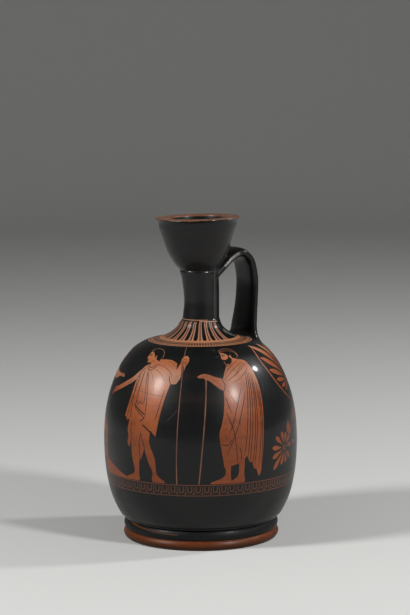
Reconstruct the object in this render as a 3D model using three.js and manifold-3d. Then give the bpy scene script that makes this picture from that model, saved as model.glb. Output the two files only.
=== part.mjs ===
// Squat lekythos: a wheel-thrown oil flask with a strap handle, its pieces joined leather-hard with slip.
// Millimetres, +Z up. The foot rests on z = 0, the wheel axis is Z, and the handle stands on the +X side.

import * as THREE from 'three';
import { mergeVertices } from 'three/addons/utils/BufferGeometryUtils.js';
import Module from 'manifold-3d';

const wasm = await Module();
wasm.setup();

// Overall sizes
const HEIGHT = 200;
const BODY_RADIUS = 60.4;
const FOOT_RADIUS = 47.9;
const RIM_RADIUS = 26.2;
const MOUTH_OPENING = 17.4;
const BORE_RADIUS = 7.6;

// Levels of the butt joints, and the slip left in each of them
const FOOT_TOP = 12.4;
const BODY_TOP = 136.7;
const NECK_TOP = 167.2;
const SLIP = 0.5;
const BODY_SEAT = FOOT_TOP + SLIP;
const NECK_SEAT = BODY_TOP + SLIP;
const MOUTH_SEAT = NECK_TOP + SLIP;

// Strap handle
const STRAP_WIDTH = 20.6;
const STRAP_THICKNESS = 6.2;
const ROOT_GAP = 0.3;
const ROOT_SLIP = 1.2;
const ROOT_SPREAD = 1.3;

// Facets round the wheel axis, round the strap and along it
const ROUND = 48;
const STRAP_SIDES = 16;
const STRAP_STEPS = 32;

const blackGloss = new THREE.MeshStandardMaterial({ color: 0x1c1d1b, roughness: 0.22, metalness: 0 });
const firedClay = new THREE.MeshStandardMaterial({ color: 0xb9683c, roughness: 0.6, metalness: 0 });
const slip = new THREE.MeshStandardMaterial({ color: 0x8c4f30, roughness: 0.7, metalness: 0 });

// Profile helpers: every profile is a list of [radius, height] pairs

const vectors = (points) => points.map(([r, z]) => new THREE.Vector2(r, z));

function smooth(points, steps) {
  const curve = new THREE.SplineCurve(vectors(points));
  return curve.getSpacedPoints(steps).map((p) => [p.x, p.y]);
}

function turned(profile) {
  const geometry = new THREE.LatheGeometry(vectors(profile), ROUND);
  return geometry.rotateX(Math.PI / 2);
}

function ring(inner, outer, low, high) {
  return turned([[inner, low], [outer, low], [outer, high], [inner, high], [inner, low]]);
}

// Outer profiles of the thrown walls, from low to high

const bodyOuter = smooth([
  [48.5, BODY_SEAT + 0.6],
  [51.0, 16],
  [54.9, 24],
  [57.4, 32],
  [59.5, 44],
  [BODY_RADIUS, 58],
  [60.0, 72],
  [58.4, 84],
  [55.1, 96],
  [49.8, 108],
  [43.6, 116.5],
  [38.7, 120.5],
  [33.4, 123.2],
  [28.2, 124.3],
  [23.6, 125.5],
  [19.3, 127.7],
  [16.3, 129.9],
  [14.1, 132],
  [12.85, 134.4],
  [11.6, BODY_TOP],
], 36);

const bodyInner = smooth([
  [BORE_RADIUS, BODY_TOP],
  [9.2, 130.5],
  [14.5, 124.6],
  [25.5, 120.6],
  [34.5, 117.2],
  [42.2, 110.4],
  [47.6, 101.5],
  [52.0, 88],
  [54.9, 73],
  [55.6, 59],
  [54.2, 43],
  [50.6, 29],
  [43.5, 18.5],
  [31, 12.8],
  [0, 11],
], 16);

const neckOuter = smooth([
  [11.4, NECK_SEAT],
  [10.9, 147],
  [11.2, 156],
  [11.5, 161.6],
  [12.0, 166],
  [11.7, NECK_TOP],
], 14);

const mouthOuter = smooth([
  [12.1, MOUTH_SEAT],
  [15.2, 171.8],
  [18.9, 179],
  [21.4, 186.8],
  [23.8, 194],
  [24.6, 197.2],
  [RIM_RADIUS, HEIGHT - 0.6],
], 14);

const mouthInner = smooth([
  [MOUTH_OPENING, HEIGHT],
  [16.6, 194],
  [14.2, 184],
  [10.2, 174],
  [BORE_RADIUS, MOUTH_SEAT],
], 8);

// Thrown pieces

function foot() {
  const edge = smooth([
    [46.2, 0],
    [FOOT_RADIUS - 0.1, 2.9],
    [47.0, 5.9],
    [FOOT_RADIUS, 9.2],
    [46.6, FOOT_TOP],
  ], 12);
  return turned([[40.4, 0], ...edge, [38.4, FOOT_TOP], [38.4, 5], [40.4, 0]]);
}

function body() {
  const spigot = [[0, 7.4], [20, 7.0], [37.9, 6.0], [37.9, BODY_SEAT], [48.2, BODY_SEAT]];
  return turned([...spigot, ...bodyOuter, ...bodyInner]);
}

function neck() {
  const bore = [[BORE_RADIUS, NECK_TOP], [BORE_RADIUS, NECK_SEAT]];
  return turned([...neckOuter, ...bore, neckOuter[0]]);
}

function mouth() {
  const rim = [[RIM_RADIUS - 0.5, HEIGHT]];
  return turned([...mouthOuter, ...rim, ...mouthInner, mouthOuter[0]]);
}

// Strap handle: a flattened oval carried along a curve in the XZ plane

const strapLine = new THREE.CatmullRomCurve3([
  [4, 161.2],
  [14.2, 168.2],
  [21.2, 173.8],
  [28.2, 176.5],
  [34.1, 172],
  [36.9, 161.4],
  [36.6, 148],
  [35.3, 136],
  [34.6, 128],
  [35.6, 117],
].map(([x, z]) => new THREE.Vector3(x, 0, z)));

// Half the width at a share t of the way down: the strap spreads a little at each root
function strapHalfWidth(t) {
  const upper = 0.6 * Math.exp(-Math.pow(t / 0.15, 2));
  const lower = 3.4 * Math.exp(-Math.pow((1 - t) / 0.2, 2));
  return STRAP_WIDTH / 2 + upper + lower;
}

function strap(grow) {
  const across = new THREE.Vector3(0, 1, 0);
  const positions = [];
  const triangles = [];
  for (let i = 0; i <= STRAP_STEPS; i++) {
    const t = i / STRAP_STEPS;
    const centre = strapLine.getPointAt(t);
    const outward = new THREE.Vector3().crossVectors(across, strapLine.getTangentAt(t));
    for (let j = 0; j < STRAP_SIDES; j++) {
      const angle = (2 * Math.PI * j) / STRAP_SIDES;
      const c = Math.cos(angle);
      const s = Math.sin(angle);
      const wide = Math.sign(c) * Math.pow(Math.abs(c), 0.77) * (strapHalfWidth(t) + grow);
      const thick = Math.sign(s) * Math.pow(Math.abs(s), 0.77) * (STRAP_THICKNESS / 2 + grow);
      const point = centre.clone().addScaledVector(across, wide).addScaledVector(outward, thick);
      positions.push(point.x, point.y, point.z);
      if (i > 0) {
        const next = (j + 1) % STRAP_SIDES;
        const here = i * STRAP_SIDES;
        const before = here - STRAP_SIDES;
        triangles.push(before + j, here + j, before + next, before + next, here + j, here + next);
      }
    }
  }
  const last = STRAP_STEPS * STRAP_SIDES;
  for (let j = 1; j < STRAP_SIDES - 1; j++) {
    triangles.push(0, j, j + 1, last, last + j + 1, last + j);
  }
  const geometry = new THREE.BufferGeometry();
  geometry.setAttribute('position', new THREE.Float32BufferAttribute(positions, 3));
  geometry.setIndex(triangles);
  return geometry;
}

// Boolean helpers

function solid(geometry) {
  const bare = geometry.clone();
  bare.deleteAttribute('normal');
  bare.deleteAttribute('uv');
  const welded = mergeVertices(bare, 1e-4);
  const corners = welded.index.array;
  const kept = [];
  for (let i = 0; i < corners.length; i += 3) {
    const [a, b, c] = corners.slice(i, i + 3);
    if (a !== b && b !== c && c !== a) {
      kept.push(a, b, c);
    }
  }
  const vertProperties = new Float32Array(welded.attributes.position.array);
  return new wasm.Manifold(new wasm.Mesh({ numProp: 3, vertProperties, triVerts: new Uint32Array(kept) }));
}

function shape(manifold) {
  const mesh = manifold.getMesh();
  const geometry = new THREE.BufferGeometry();
  geometry.setAttribute('position', new THREE.Float32BufferAttribute(mesh.vertProperties, 3));
  geometry.setIndex(Array.from(mesh.triVerts));
  const flat = geometry.toNonIndexed();
  flat.computeVertexNormals();
  return flat;
}

// Carries on a profile's end [r1, z1] straight from its neighbour [r0, z0] by a length
function carriedOn([r0, z0], [r1, z1], length) {
  const share = length / Math.hypot(r1 - r0, z1 - z0);
  return [r1 + (r1 - r0) * share, z1 + (z1 - z0) * share];
}

// A thrown wall swollen by a distance along its outer profile and filled to the axis
function swollen(profile, distance) {
  const past = distance + SLIP;
  const end = profile.length - 1;
  const longer = [
    carriedOn(profile[1], profile[0], past),
    ...profile,
    carriedOn(profile[end - 1], profile[end], past),
  ];
  const moved = longer.map(([r, z], i) => {
    const [r0, z0] = longer[Math.max(i - 1, 0)];
    const [r1, z1] = longer[Math.min(i + 1, longer.length - 1)];
    const length = Math.hypot(r1 - r0, z1 - z0);
    return [r + (distance * (z1 - z0)) / length, z - (distance * (r1 - r0)) / length];
  });
  const low = moved[0][1];
  const high = moved[moved.length - 1][1];
  return solid(turned([[0, low], ...moved, [0, high]]));
}

const pot = (distance) => swollen(bodyOuter, distance)
  .add(swollen(neckOuter, distance))
  .add(swollen(mouthOuter, distance));

// Keeps only the largest body, dropping slivers that a cut leaves behind
function largest(manifold) {
  return manifold.decompose().sort((a, b) => b.volume() - a.volume())[0];
}

function handle() {
  return shape(largest(solid(strap(0)).subtract(pot(ROOT_SLIP + 2 * ROOT_GAP))));
}

function rootSlip(low, high) {
  const reach = 2 * BODY_RADIUS;
  const band = solid(turned([[0, low], [reach, low], [reach, high], [0, high]]));
  const layer = pot(ROOT_GAP + ROOT_SLIP).subtract(pot(ROOT_GAP));
  return shape(largest(solid(strap(ROOT_SPREAD)).intersect(layer).intersect(band)));
}

// Assembly

const lekythos = new THREE.Group();
lekythos.name = 'squat_lekythos';

function add(name, geometry, material) {
  const mesh = new THREE.Mesh(geometry, material);
  mesh.name = name;
  lekythos.add(mesh);
}

add('foot', foot(), firedClay);
add('foot_lute', ring(38.6, 47.2, FOOT_TOP, BODY_SEAT), slip);
add('body', body(), blackGloss);
add('neck_lute', ring(BORE_RADIUS, 11.5, BODY_TOP, NECK_SEAT), slip);
add('neck', neck(), blackGloss);
add('mouth_lute', ring(BORE_RADIUS, 11.7, NECK_TOP, MOUTH_SEAT), slip);
add('mouth', mouth(), blackGloss);
add('handle', handle(), blackGloss);
add('handle_upper_lute', rootSlip(145, 174), slip);
add('handle_lower_lute', rootSlip(100, 140), slip);

export default lekythos;
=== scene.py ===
"""Squat lekythos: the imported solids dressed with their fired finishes, on a pale studio floor."""

import math

import bmesh
import bpy
import numpy as np
from mathutils import Matrix, Vector
from mathutils.geometry import delaunay_2d_cdt


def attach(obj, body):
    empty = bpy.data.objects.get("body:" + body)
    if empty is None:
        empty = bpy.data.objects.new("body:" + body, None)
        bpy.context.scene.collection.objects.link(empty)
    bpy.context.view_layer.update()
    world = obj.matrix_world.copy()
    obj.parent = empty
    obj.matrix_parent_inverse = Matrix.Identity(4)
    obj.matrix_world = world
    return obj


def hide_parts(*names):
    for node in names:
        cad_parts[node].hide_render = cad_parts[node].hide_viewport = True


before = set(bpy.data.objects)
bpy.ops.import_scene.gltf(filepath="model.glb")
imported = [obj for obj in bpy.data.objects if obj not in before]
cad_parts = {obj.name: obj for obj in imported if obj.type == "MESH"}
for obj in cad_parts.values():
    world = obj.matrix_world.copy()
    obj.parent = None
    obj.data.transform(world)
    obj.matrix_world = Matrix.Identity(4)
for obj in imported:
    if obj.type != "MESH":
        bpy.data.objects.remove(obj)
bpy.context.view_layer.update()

# Sizes in millimetres, as in the part's source: the wheel axis is Z and the handle stands on +X
HEIGHT = 200.0
BODY_RADIUS = 60.4
RIM_RADIUS = 26.2
MOUTH_OPENING = 17.4
BORE_RADIUS = 7.6
FOOT_TOP = 12.4
BODY_TOP = 136.7
NECK_TOP = 167.2
SLIP = 0.5
BODY_SEAT = FOOT_TOP + SLIP
NECK_SEAT = BODY_TOP + SLIP
MOUTH_SEAT = NECK_TOP + SLIP
STRAP_WIDTH = 20.6
STRAP_THICKNESS = 6.2

# The photograph is taken 35 degrees round from the side that has the handle on the right
VIEW_AZIMUTH = math.radians(-35)


# Curves and grids

# Points nearer than this, in metres, are one, and edges past this angle are sharp
WELD = 2e-7
SHARP = math.radians(40)


def resample(curve, count):
    """The same curve with count steps of equal length."""
    length = np.concatenate([[0], np.cumsum(np.linalg.norm(np.diff(curve, axis=0), axis=1))])
    at = np.linspace(0, length[-1], count + 1)
    return np.stack([np.interp(at, length, column) for column in curve.T], axis=1)


def spline(points, count=None, dense=24):
    """Uniform Catmull-Rom curve through the points, its
    ends doubled, in equal steps if a count is given."""
    p = np.asarray(points, float)
    p = np.vstack([p[:1], p, p[-1:]])
    t = np.linspace(0, 1, dense, endpoint=False)[None, :, None]
    a, b, c, d = (p[i:len(p) - 3 + i, None] for i in range(4))
    m0 = (c - a) / 2
    m1 = (d - b) / 2
    cubic = (2 * b - 2 * c + m0 + m1) * t**3 + (3 * c - 3 * b - 2 * m0 - m1) * t**2 + m0 * t + b
    curve = np.vstack([cubic.reshape(-1, p.shape[1]), p[-1:]])
    return resample(curve, count) if count else curve


def turned(profile, columns=192, start=0.0):
    """Surface of revolution: point i of the profile [r, z] turned by column j's share of a full turn."""
    profile = np.asarray(profile, float)
    angle = start + np.arange(columns) * 2 * np.pi / columns
    r = profile[:, :1]
    z = profile[:, 1:]
    points = np.stack([r * np.cos(angle), r * np.sin(angle), z + 0 * angle], axis=-1).reshape(-1, 3)
    i, j = np.meshgrid(np.arange(len(profile) - 1), np.arange(columns), indexing="ij")
    k = (j + 1) % columns
    quads = np.stack([i * columns + j, i * columns + k, (i + 1) * columns + k, (i + 1) * columns + j],
                     axis=-1)
    return points, quads.reshape(-1, 4)


def piece(name, points, faces, materials, index=None):
    """A mesh object at the origin from points in millimetres, welded, smooth but for sharp edges."""
    mesh = bpy.data.meshes.new(name)
    mesh.from_pydata((np.asarray(points) * 0.001).tolist(), [], [list(map(int, f)) for f in faces])
    for material in materials:
        mesh.materials.append(material)
    if index is not None:
        mesh.polygons.foreach_set("material_index", np.asarray(index, np.int32))
    work = bmesh.new()
    work.from_mesh(mesh)
    bmesh.ops.remove_doubles(work, verts=work.verts, dist=WELD)
    work.to_mesh(mesh)
    work.free()
    mesh.polygons.foreach_set("use_smooth", np.ones(len(mesh.polygons), bool))
    mesh.set_sharp_from_angle(angle=SHARP)
    mesh.update()
    made = bpy.data.objects.new(name, mesh)
    bpy.context.scene.collection.objects.link(made)
    return made


# Profiles [r, z], low to high, from the same values as the solids

body_outer = spline([
    (48.5, BODY_SEAT + 0.6), (51.0, 16), (54.9, 24), (57.4, 32), (59.5, 44), (BODY_RADIUS, 58), (60.0, 72),
    (58.4, 84), (55.1, 96), (49.8, 108), (43.6, 116.5), (38.7, 120.5), (33.4, 123.2), (28.2, 124.3),
    (23.6, 125.5), (19.3, 127.7), (16.3, 129.9), (14.1, 132), (12.85, 134.4), (11.6, BODY_TOP)], 400)
body_inner = spline([
    (BORE_RADIUS, BODY_TOP), (9.2, 130.5), (14.5, 124.6), (25.5, 120.6), (34.5, 117.2), (42.2, 110.4),
    (47.6, 101.5), (52.0, 88), (54.9, 73), (55.6, 59), (54.2, 43), (50.6, 29), (43.5, 18.5), (31, 12.8),
    (0, 11)], 60)
neck_outer = spline([(11.4, NECK_SEAT), (10.9, 147), (11.2, 156), (11.5, 161.6), (12.0, 166),
                     (11.7, NECK_TOP)], 48)
mouth_outer = spline([
    (12.1, MOUTH_SEAT), (15.2, 171.8), (18.9, 179), (21.4, 186.8), (23.8, 194), (24.6, 197.2),
    (RIM_RADIUS, HEIGHT - 0.6)], 60)
mouth_inner = spline([(MOUTH_OPENING, HEIGHT), (16.6, 194), (14.2, 184), (10.2, 174),
                      (BORE_RADIUS, MOUTH_SEAT)], 40)


# Painting, drawn in millimetres on the unrolled wall: x
# along it, y up it from the ground line of the figures

PLANE_RADIUS = 60.0
AROUND = 2 * np.pi * PLANE_RADIUS
SEAM = math.radians(81)
GROUND_LEVEL = 43.5
OVOLO_LOW = 36.3
arc = np.concatenate([[0], np.cumsum(np.linalg.norm(np.diff(body_outer, axis=0), axis=1))])
GROUND = np.interp(GROUND_LEVEL, body_outer[:, 1], arc)

# Paints, by their place among the body's materials, and
# the coats laid so far: each an outline and its paint
BLACK, CLAY, BROWN, SCRAPED, DULL = range(5)
coats = []


def wall_radius(s):
    """Radius of the body's outer wall at a length s up it from the seat."""
    return np.interp(s, arc, body_outer[:, 0])


def sheet(bearing, facing=1):
    """A drawing sheet at a bearing in degrees from the
    handle: gives the plane's place of its points [x, y]."""
    middle = (math.radians(bearing) - SEAM) % (2 * np.pi)

    def place(points):
        points = np.asarray(points, float)
        s = GROUND + points[:, 1]
        return np.stack([(middle + facing * points[:, 0] / wall_radius(s)) * PLANE_RADIUS, s], axis=1)
    return place


def evenly(points, step=0.6):
    """The smooth curve through the points, in steps of about the given length."""
    curve = spline(points)
    length = np.linalg.norm(np.diff(curve, axis=0), axis=1).sum()
    return resample(curve, max(3, math.ceil(length / step)))


def fill(place, paint, *runs):
    """Lays paint inside a closed outline of smooth runs that meet at corners: each run goes on from
    the end of the one before, the last comes back to the start, and an empty run is straight."""
    outline = []
    corner = []
    for k, run in enumerate(runs):
        close = runs[0][:1] if k == len(runs) - 1 else []
        outline.append(evenly(corner + run + close)[:-1])
        corner = run[-1:]
    coats.append((place(np.vstack(outline)), paint))


def brush(place, points, width=0.45, paint=BLACK, tips=(0.35, 0.35), step=0.6):
    """Lays a stroke: the curve through the points swept by
    the width, thinned to the given share at each tip."""
    line = evenly(points, step)
    along = np.gradient(line, axis=0)
    along /= np.linalg.norm(along, axis=1, keepdims=True) + 1e-9
    side = np.stack([-along[:, 1], along[:, 0]], axis=1)
    t = np.linspace(0, 1, len(line))
    press = np.minimum(1, np.minimum(tips[0] + t * 5, tips[1] + (1 - t) * 5))[:, None]
    half = side * press * width / 2
    coats.append((place(np.vstack([line + half, (line - half)[::-1]])), paint))


def strokes(place, lines, **how):
    """Lays several strokes alike."""
    for points in lines:
        brush(place, points, **how)


def round_spot(place, centre, radius, paint, tall=1.0, sides=14):
    """Lays a round or oval spot."""
    turn = np.arange(sides) * 2 * np.pi / sides
    coats.append((place(np.stack([centre[0] + radius * np.cos(turn),
                                  centre[1] + radius * tall * np.sin(turn)], axis=1)), paint))


# Bands round the pot

COLUMNS = 192

# Bearing of the photographed side from the handle, in degrees
NEAR_SIDE = 235

# Place of the first tongue after the seam, in tongues
TONGUE_START = 1.27


def ring(low, high, paint):
    """Lays a band right round the wall between two lengths up it."""
    across = np.linspace(0, AROUND, COLUMNS + 1)
    coats.append((np.vstack([np.stack([across, 0 * across + low], axis=1),
                             np.stack([across[::-1], 0 * across + high], axis=1)]), paint))


def ovolo(eggs=72):
    """Egg band under the figures: black eggs on clay, each
    with a clay line in it, between black and clay lines."""
    low = np.interp(OVOLO_LOW, body_outer[:, 1], arc)
    high = GROUND
    ring(low, high, CLAY)
    ring(low + 0.6, low + 1.25, BLACK)
    ring(high - 1.25, high - 0.6, BLACK)
    pitch = AROUND / eggs
    top = high - 1.15
    for k in range(eggs):
        centre = (k + 0.5) * pitch
        for share, foot, colour in ((0.46, low + 1.1, BLACK), (0.29, low + 2.0, CLAY),
                                    (0.175, low + 2.7, BLACK)):
            half = share * pitch
            bow = [(-1, top), (-1, foot + 1.4), (-0.74, foot + 0.3), (0, foot), (0.74, foot + 0.3),
                   (1, foot + 1.4), (1, top)]
            coats.append((np.array([(centre + x * half, y) for x, y in bow]), colour))


def shoulder_bands(eggs=104, tongues=24, plain_side=70):
    """Shoulder: a line, a row of small eggs, a thick line,
    then tongues between paired lines up to the neck."""
    ring(GROUND + 90.2, GROUND + 99.8, CLAY)
    ring(GROUND + 91.1, GROUND + 91.8, BLACK)
    ring(GROUND + 96.5, GROUND + 97.2, BLACK)
    pitch = AROUND / eggs
    stretch = PLANE_RADIUS / wall_radius(GROUND + 94)
    for k in range(eggs):
        centre = (k + 0.5) * pitch / stretch
        drop = [(centre - 0.64, GROUND + 95.7), (centre - 0.58, GROUND + 93.7), (centre, GROUND + 92.1),
                (centre + 0.58, GROUND + 93.7), (centre + 0.64, GROUND + 95.7), (centre, GROUND + 96.2)]
        coats.append((np.array(drop) * (stretch, 1), BLACK))
    pitch = 2 * np.pi / tongues
    top = arc[-1] - 0.9
    along = np.linspace(0, 1, 24)
    angle = math.radians(NEAR_SIDE - 5) - SEAM + along * math.radians(360 - NEAR_SIDE + 5 - plain_side)
    fall = arc[-1] - 0.3 - 0.95 * along**1.5
    coats.append((np.vstack([np.stack([angle * PLANE_RADIUS, fall - 0.4], axis=1),
                             np.stack([angle * PLANE_RADIUS, fall + 0.29], axis=1)[::-1]]), CLAY))
    rise = np.linspace(GROUND + 99.6, top, 16)
    # The tongue on the seam is laid at both ends of the plane
    for k in range(-1, tongues):
        middle = (SEAM + (k + TONGUE_START) * pitch + np.pi) % (2 * np.pi) - np.pi
        if abs(math.degrees(middle)) < plain_side:
            continue
        for half, paint in ((0.255, CLAY), (0.065, BLACK)):
            flare = (0.12 if paint == CLAY else 0) * np.exp(-(rise - rise[0]) / 1.2)
            left = (k + TONGUE_START - half - flare) * pitch
            right = (k + TONGUE_START + half + flare) * pitch
            coats.append((np.vstack([np.stack([left * PLANE_RADIUS, rise], axis=1),
                                     np.stack([right * PLANE_RADIUS, rise], axis=1)[::-1]]), paint))


# Palmettes round the handle

def leaf(place, root, bearing, start, end, width):
    """Lays a drop-shaped leaf: half width sin(pi t^2.2)^0.72 from a thin root to a round tip."""
    t = np.linspace(0.05, 1, 22)
    along = np.array([math.cos(bearing), math.sin(bearing)])
    side = np.array([-along[1], along[0]])
    half = (width / 2 * np.sin(np.pi * t**2.2) ** 0.72)[:, None]
    line = np.asarray(root) + along * (start + (end - start) * t)[:, None]
    coats.append((place(np.vstack([line + side * half, (line - side * half)[::-1]])), CLAY))


def palmette(place, heart, axis, lengths, spread, hole=1.6, rest=()):
    """Lays leaves of given lengths fanned either side of the axis, the first
    along it, and the rest by bearing and length, round a small heart."""
    steps = [0] + [k * sign for k in range(1, len(lengths)) for sign in (1, -1)]
    for bearing, reach in [(axis + k * spread, lengths[abs(k)]) for k in steps] + list(rest):
        width = min(0.112 * reach + 0.3, 4.2) if spread else 2.9
        leaf(place, heart, math.radians(bearing), hole, reach, width)
    round_spot(place, heart, hole * 0.95, CLAY)
    round_spot(place, heart, hole * 0.5, BLACK)


def handle_ornament(facing):
    """One half of the ornament under the handle: a slanting
    palmette in a tendril, and a small palmette below."""
    place = sheet(facing * 59.0, facing)
    palmette(place, (-19, 57), 49, (39.4, 32.8, 27.2, 22, 18.4, 14.5), 14.4, 2.4)
    strokes(place, [
        [(-29, 52), (-22, 45.5), (-12, 44.5), (-5, 48), (0, 52), (5.5, 59), (8.6, 66), (10, 72), (9, 79),
         (6, 85)],
        [(-29, 52), (-33, 60), (-32.6, 70), (-27.6, 78.6), (-19, 85)],
        [(-29, 52), (-31, 47), (-28, 43.4), (-24.4, 45), (-25, 48.4), (-27.6, 48.4)],
    ], width=0.95, paint=CLAY)
    palmette(place, (8.5, 17.5), 6, (12.4,), 0, 1.7, [
        (76, 10.6), (42, 11.6), (-23, 13.2), (-49, 16.4), (-73, 11), (-103, 10), (-136, 9.6), (172, 9.4),
        (135, 9.4), (104, 9.8)])
    strokes(place, [
        [(4.6, 21), (0, 25), (-3, 30), (-7, 37), (-9.4, 38.4), (-11.4, 35.6), (-9.8, 31.8), (-7, 32.6),
         (-7.4, 35)],
        [(-3, 30), (-12, 27.6), (-24, 33), (-36, 37), (-50, 35), (-60, 28)],
        [(-24, 33), (-22, 26), (-26, 21), (-31, 22.4), (-31, 27), (-27.4, 27.4), (-27, 25)],
    ], width=0.8, paint=CLAY)
    round_spot(place, (-9.2, 35), 1.5, CLAY, 1.5)
    fill(place, CLAY, [(1.6, 24.4), (4, 27), (4.2, 30.4), (2, 33.4)], [(-0.6, 29.6), (-0.4, 26)])
    fill(place, CLAY, [(-2.4, 20), (-5.4, 20.6), (-7.8, 18.6)], [(-4.6, 17.4)])


def handle_bud():
    """The upright bud between the two slanting palmettes, straight below the handle."""
    place = sheet(0)
    fill(place, CLAY, [(0, 66), (-3.6, 58), (-3.4, 50), (0, 43)], [(3.4, 50), (3.6, 58)])
    strokes(place, [[(0, 63.4), (-1.5, 56), (0, 47)], [(0, 63.4), (1.5, 56), (0, 47)]], width=0.5)
    for sign in (1, -1):
        strokes(place, [[(sign * 1.2, 44), (sign * 6.4, 50), (sign * 7.2, 58), (sign * 10, 62)],
                        [(0, 28), (sign * 1, 36), (sign * 4, 40), (sign * 6.6, 37.4), (sign * 4.6, 35)]],
                width=0.9, paint=CLAY)
    palmette(place, (0, 27), -90, (14, 13, 12, 10.4, 9), 27, 1.8)


# Figures: stock types of the red-figure style, all in one calm generic profile on textbook proportions

def profile_head(place, corner, size, tilt, bearded=False, filleted=False):
    """A head in profile to the left, bent down by a tilt in degrees, from a unit drawing with the chin
    at 0 and the crown at 1, brow, nose and chin a third of the face apart and the eye half way up."""
    nape = np.array([0.55, 0.0])
    c = math.cos(math.radians(tilt))
    s = math.sin(math.radians(tilt))

    def head(points):
        bent = (np.asarray(points, float) - nape) @ np.array([[c, s], [-s, c]])
        return place(np.asarray(corner) + size * (nape + bent))
    thin = 0.022
    fill(head, CLAY,
         [(0.1, 0.86), (0.04, 0.74), (0.02, 0.575), (-0.085, 0.335)],
         [(0.0, 0.285), (-0.022, 0.235), (0.016, 0.2), (-0.006, 0.165), (0.03, 0.125),
          (0.016, 0.05), (0.1, 0.0), (0.29, 0.04)],
         [(0.32, -0.1), (0.3, -0.32)],
         [(0.84, -0.32)],
         [(0.8, -0.05), (0.82, 0.2)],
         [(0.8, 0.6), (0.4, 0.9)])
    fill(head, BLACK,
         [(0.05, 0.78), (0.15, 0.75), (0.25, 0.71), (0.33, 0.63), (0.38, 0.53), (0.38, 0.4), (0.43, 0.34)],
         [(0.46, 0.5), (0.56, 0.53), (0.6, 0.44), (0.55, 0.33), (0.58, 0.24), (0.72, 0.16), (0.84, 0.1)],
         [(0.93, 0.32), (0.96, 0.54), (0.91, 0.76), (0.77, 0.94), (0.55, 1.03), (0.33, 1.02), (0.14, 0.95),
          (0.05, 0.86)])
    edge = [(0.035, 0.8), (0.05, 0.88), (0.14, 0.97), (0.33, 1.035), (0.55, 1.045), (0.78, 0.955),
            (0.925, 0.765), (0.975, 0.54), (0.945, 0.31), (0.855, 0.08)]
    brush(head, edge, 0.02, CLAY, step=0.05)
    if bearded:
        fill(head, BLACK,
             [(0.385, 0.42), (0.33, 0.28), (0.22, 0.25), (0.12, 0.21), (0.075, 0.265), (-0.025, 0.255)],
             [(0.06, 0.205), (-0.01, 0.17), (0.0, 0.02), (0.06, -0.16), (0.13, -0.27)],
             [(0.3, -0.14), (0.46, 0.06), (0.54, 0.3)])
        brush(head, [(-0.015, 0.15), (-0.02, 0.02), (0.04, -0.18), (0.125, -0.3)], 0.03, CLAY, step=0.05)
    else:
        brush(head, [(0.3, 0.035), (0.42, 0.1), (0.48, 0.22)], thin, step=0.05)
    if filleted:
        brush(head, [(0.05, 0.83), (0.3, 0.87), (0.6, 0.83), (0.95, 0.62)], 0.016, CLAY, (1, 1), 0.05)
        brush(head, [(0.95, 0.62), (1.02, 0.46), (1.01, 0.26)], 0.03, CLAY, step=0.05)
    strokes(head, [
        [(0.045, 0.525), (0.13, 0.56), (0.25, 0.505)], [(0.06, 0.475), (0.15, 0.455), (0.24, 0.49)],
        [(0.03, 0.605), (0.15, 0.65), (0.3, 0.61)], [(-0.005, 0.315), (0.04, 0.345)],
        [(0.0, 0.2), (0.1, 0.195)]], width=thin * 1.25, step=0.05)
    round_spot(head, (0.1, 0.505), 0.033, BLACK, 1.2, 8)


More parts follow.
